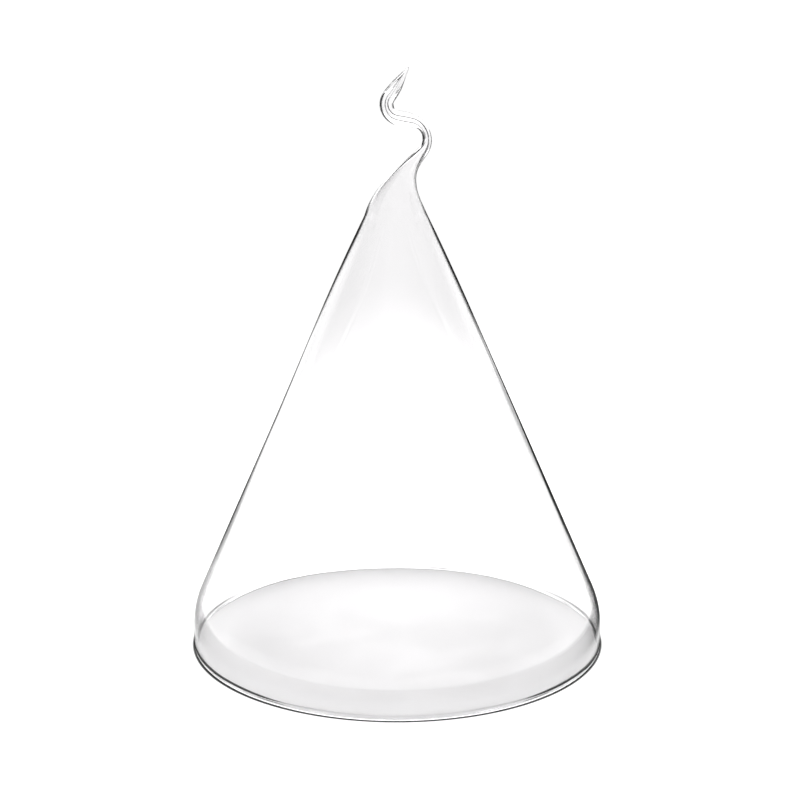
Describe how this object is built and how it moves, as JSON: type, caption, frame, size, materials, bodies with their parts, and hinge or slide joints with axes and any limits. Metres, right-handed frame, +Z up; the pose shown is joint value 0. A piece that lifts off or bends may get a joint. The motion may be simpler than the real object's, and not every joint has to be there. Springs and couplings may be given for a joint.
{
  "type": "glass cloche",
  "caption": "Conical clear-glass cloche, open at the bottom with a fire-polished rim, its top drawn out into a curled handle with a pinched tip; covers a plant or a display.",
  "frame": {"origin": "centre of the rim, on the plane the cloche rests on", "axes": "+Z up along the cone's axis; the curled handle lies in the XZ plane, its lower bend towards +X"},
  "size_m": [0.2, 0.2, 0.2889],
  "materials": {
    "clear_glass": "clear, fire polished"
  },
  "bodies": {
    "root": {"rim_bead": "clear_glass", "shoulder_wall": "clear_glass", "cone_wall": "clear_glass", "neck": "clear_glass", "curl_stem": "clear_glass", "leaf_tip": "clear_glass"}
  },
  "joints": []
}
